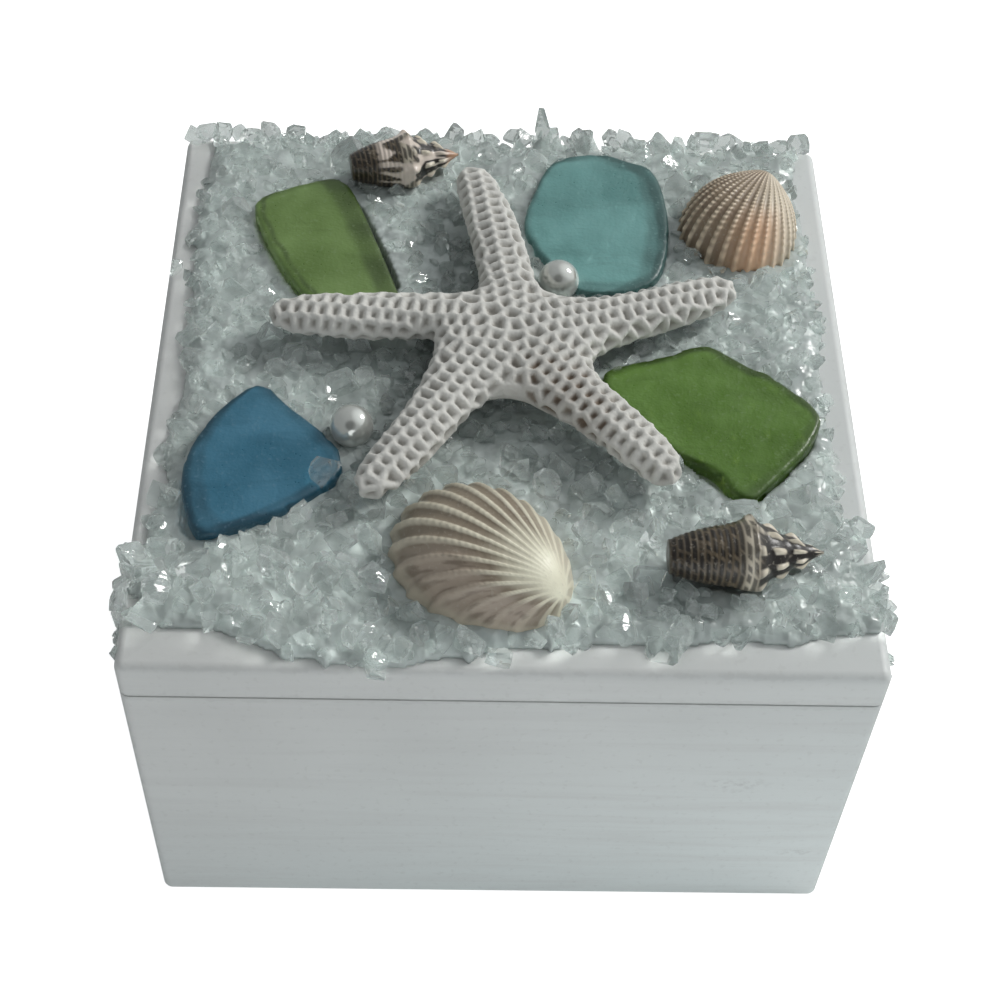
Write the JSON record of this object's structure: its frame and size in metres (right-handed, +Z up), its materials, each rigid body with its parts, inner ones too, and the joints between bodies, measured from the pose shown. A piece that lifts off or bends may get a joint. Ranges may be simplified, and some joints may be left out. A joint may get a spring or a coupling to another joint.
{
  "type": "decorative box",
  "caption": "square white wooden trinket box whose lift-off lid carries crushed glass, a starfish, sea glass, pearls and sea shells",
  "frame": {"origin": "middle of the flat underside of the box", "axes": "+Z up through the lid, -Y out of the front face that the picture shows, +X to the right seen from the front"},
  "size_m": [0.1041, 0.1027, 0.0735],
  "materials": {
    "painted_wood": "white satin paint over wood",
    "lid_paint": "white satin paint over wood",
    "crushed_glass": "clear crushed glass set in clear glue",
    "dried_starfish": "matt dried starfish, chalky white",
    "pale_green_glass": "frosted sea glass",
    "leaf_green_glass": "frosted sea glass",
    "aqua_glass": "frosted sea glass",
    "blue_glass": "frosted sea glass",
    "pearl": "white pearl lustre",
    "cream_shell": "natural shell, satin",
    "tan_shell": "natural shell, satin",
    "dark_shell": "natural shell, satin"
  },
  "bodies": {
    "root": {"box_body": "painted_wood", "lid": "lid_paint", "glass_bed": "crushed_glass", "starfish": "dried_starfish", "sea_glass_green_back": "pale_green_glass", "sea_glass_green_front": "leaf_green_glass", "sea_glass_aqua": "aqua_glass", "sea_glass_blue": "blue_glass", "pearl_back": "pearl", "pearl_left": "pearl", "cockle_front": "cream_shell", "cockle_back": "tan_shell", "whelk_front": "dark_shell", "whelk_back": "dark_shell"}
  },
  "joints": []
}
